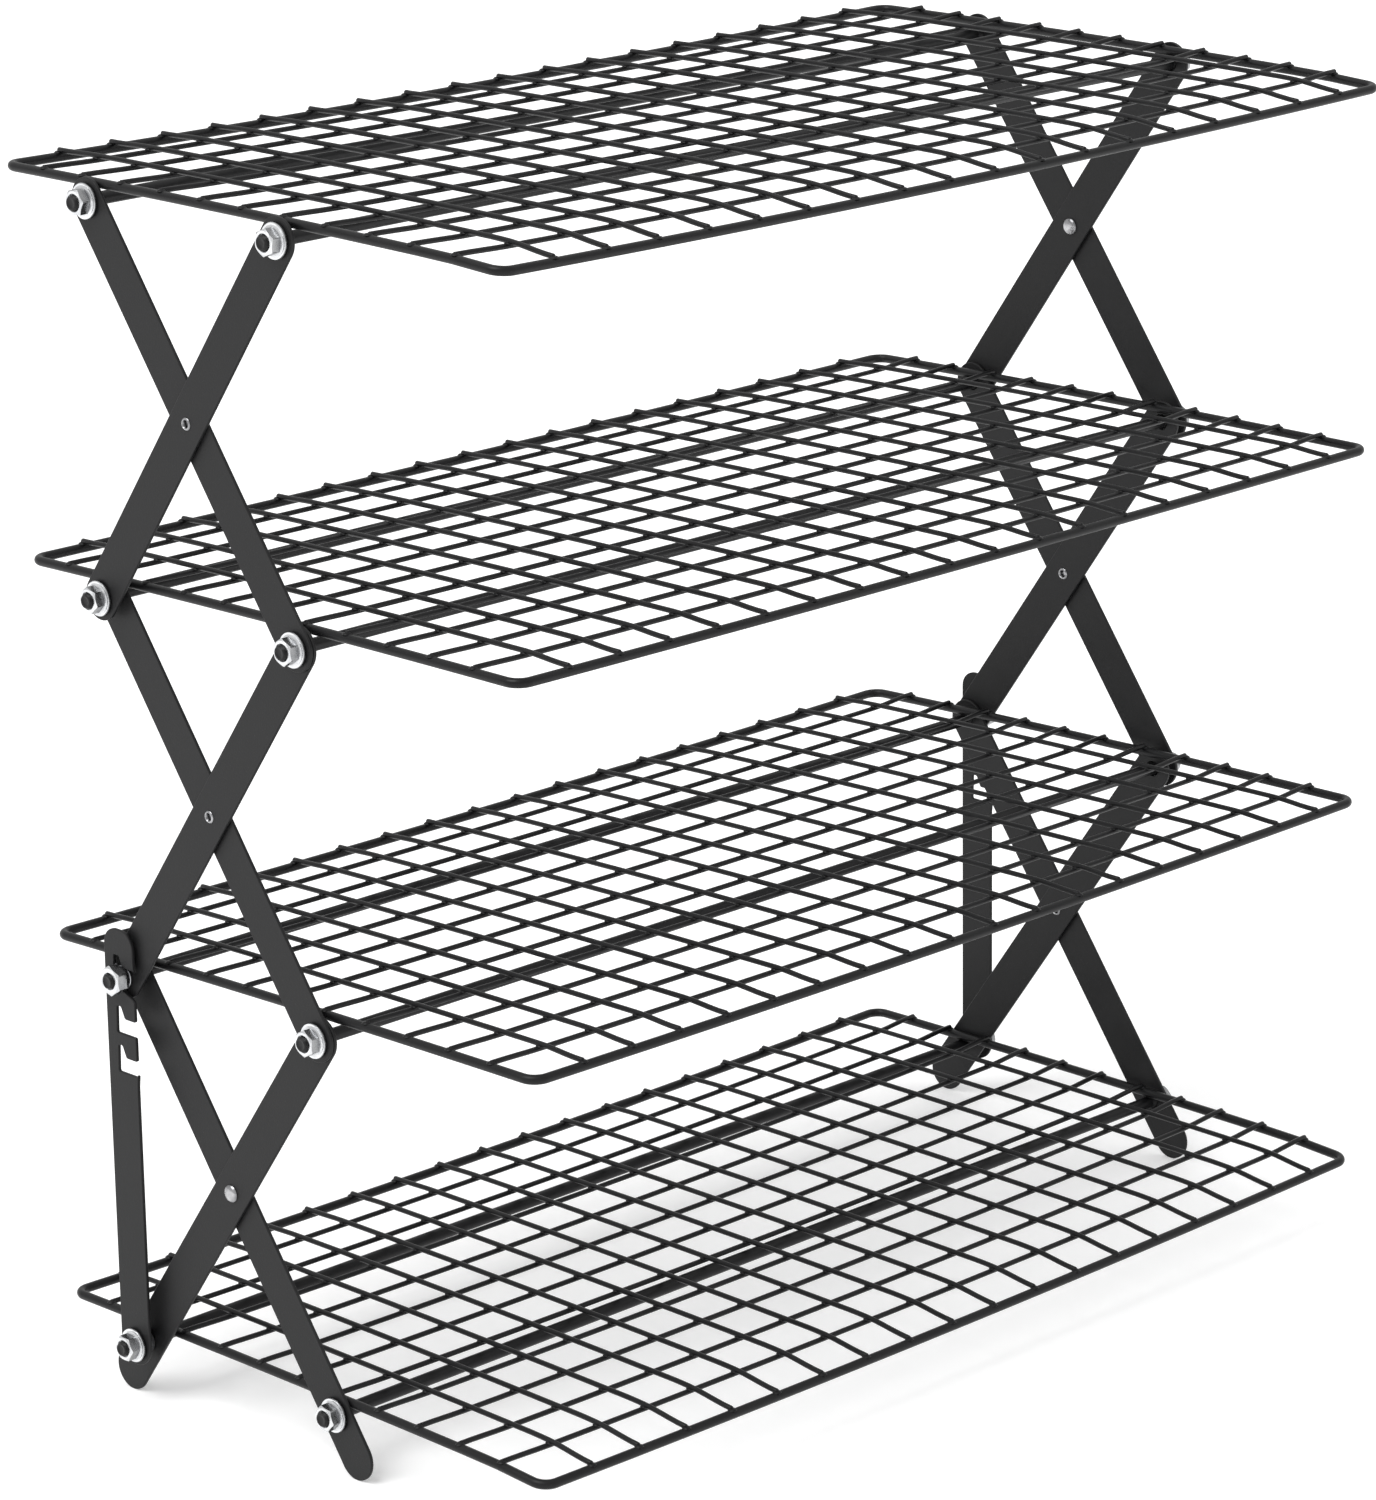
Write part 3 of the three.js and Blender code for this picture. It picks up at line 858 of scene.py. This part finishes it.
def build_latch(end):
    """A latch bar, whose outline is laid out as (height above its pivot, reach backward)."""
    node = f"latch_bar_{end}"
    low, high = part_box(node)
    foot = pivot("rear", 1)
    stud = pivot("rear", 2).z - foot.z
    top = high.z - foot.z
    edge = LATCH_HALF_WIDTH
    corner = LATCH_CORNER
    notches = free_notch(FREE_NOTCHES[0]) + free_notch(FREE_NOTCHES[1]) + hook_notch(stud)
    front = [(x, -y) for x, y in soften(notches, NOTCH_EDGE)]
    outline = arc_points((0, 0), edge, 90, 270, END_STEPS)
    outline += front
    outline += arc_points((top - corner, -edge + corner), corner, -90, 0, 10)
    outline += arc_points((top - corner, edge - corner), corner, 0, 90, 10)
    bm = plate_mesh([outline, circle_points((0, 0), PIVOT_HOLE)], high.x - low.x)
    stand_plate(bm, (low.x + high.x) / 2, foot, Vector((0, 0, 1)), -1)
    finish_plate(node, bm, f"latch_{end}")


for end in ENDS:
    build_latch(end)

# ---- Rivets -------------------------------------------------------------------------------

HEADS_OUTWARD = {("lower", "left"), ("lower", "right"), ("middle", "right")}


def build_rivet(stage, end):
    """A rivet with a domed head on one side of its arms and a hollow formed tail on the other."""
    node = f"{stage}_rivet_{end}"
    arm_boxes = [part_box(f"{stage}_{line}_arm_{end}") for line in ("rear", "front")]
    sides = [abs(corner.x) for box in arm_boxes for corner in box]
    outer_x = max(sides)
    inner_x = min(sides)
    middle = centre(node)
    side = 1 if middle.x > 0 else -1
    outward = (stage, end) in HEADS_OUTWARD
    head_x = outer_x if outward else inner_x
    direction = side if outward else -side
    grip = outer_x - inner_x
    origin = Vector((side * head_x, middle.y, middle.z))
    gap = 0.04 * MM
    shank = 2.0 * MM
    head = [
        (gap, shank),
        (gap, 2.95 * MM),
        (0.25 * MM, 3.05 * MM),
        (0.6 * MM, 2.85 * MM),
        (0.95 * MM, 2.3 * MM),
        (1.2 * MM, 1.45 * MM),
        (1.28 * MM, 0.7 * MM),
    ]
    tail = [
        (-grip + 0.9 * MM, 0.4 * MM),
        (-grip + 0.9 * MM, 0.95 * MM),
        (-grip - 0.2 * MM, 1.3 * MM),
        (-grip - 0.4 * MM, 1.5 * MM),
        (-grip - 0.4 * MM, 1.65 * MM),
        (-grip - 0.12 * MM, 2.12 * MM),
        (-grip - gap, 2.15 * MM),
        (-grip - gap, shank),
    ]
    bm = bmesh.new()
    add_capped(bm, origin, direction, tail + head)
    finish_piece(f"formed_{node}", bm, f"{stage}_rear_arms", "rivet_steel", node, sharp_angle=40)


for stage in STAGES:
    for end in ENDS:
        build_rivet(stage, end)

# ---- Floor, light and camera --------------------------------------------------------------


def pale_floor():
    material, nodes, links, shader = new_material("pale_floor")
    cloud = object_noise(nodes, links, scale=1.5, detail=2)
    tone = mix_colours(nodes, links, cloud, (0.9, 0.9, 0.9), (0.93, 0.93, 0.93))
    links.new(tone, shader.inputs["Base Color"])
    shader.inputs["Roughness"].default_value = 0.9
    shader.inputs["Specular IOR Level"].default_value = 0.2
    # painted light: the floor glows a little, which lifts the shadows cast on it
    shader.inputs["Emission Color"].default_value = (1, 1, 1, 1)
    shader.inputs["Emission Strength"].default_value = 0.21
    return material


def build_floor():
    bm = bmesh.new()
    signs = ((-1, -1), (1, -1), (1, 1), (-1, 1))
    corners = [bm.verts.new((x * FLOOR_REACH, y * FLOOR_REACH, 0)) for x, y in signs]
    bm.faces.new(corners)
    mesh = bpy.data.meshes.new("floor")
    bm.to_mesh(mesh)
    bm.free()
    mesh.materials.append(pale_floor())
    floor = bpy.data.objects.new("floor", mesh)
    bpy.context.scene.collection.objects.link(floor)


def view_axes(azimuth, elevation):
    a = math.radians(azimuth)
    e = math.radians(elevation)
    right = Vector((math.cos(a), math.sin(a), 0))
    back = Vector((math.sin(a) * math.cos(e), -math.cos(a) * math.cos(e), math.sin(e)))
    return right, back.cross(right), back


def sun(name, azimuth, elevation, strength, spread):
    lamp = bpy.data.lights.new(name, "SUN")
    lamp.energy = strength
    lamp.angle = math.radians(spread)
    holder = bpy.data.objects.new(name, lamp)
    right, up, back = view_axes(azimuth, elevation)
    holder.matrix_world = Matrix((right, up, back)).transposed().to_4x4()
    bpy.context.scene.collection.objects.link(holder)


def build_world(strength):
    world = bpy.data.worlds.new("studio")
    world.use_nodes = True
    world.node_tree.nodes["Background"].inputs["Color"].default_value = (1, 1, 1, 1)
    world.node_tree.nodes["Background"].inputs["Strength"].default_value = strength
    bpy.context.scene.world = world


def build_camera():
    roll = math.radians(CAMERA_ROLL)
    right, up, back = view_axes(CAMERA_AZIMUTH, CAMERA_ELEVATION)
    level_right = right * math.cos(roll) + up * math.sin(roll)
    level_up = up * math.cos(roll) - right * math.sin(roll)
    camera = bpy.data.cameras.new("camera")
    camera.sensor_fit = "HORIZONTAL"
    camera.sensor_width = SENSOR_WIDTH
    camera.lens = CAMERA_LENS
    camera.clip_end = 60
    holder = bpy.data.objects.new("camera", camera)
    place = Matrix((level_right, level_up, back)).transposed().to_4x4()
    place.translation = CAMERA_PLACE
    holder.matrix_world = place
    bpy.context.scene.collection.objects.link(holder)
    bpy.context.scene.camera = holder


build_floor()
build_world(strength=0.86)
sun("key", azimuth=-100, elevation=58, strength=1.7, spread=40)
build_camera()
bpy.context.scene.view_settings.view_transform = "Standard"
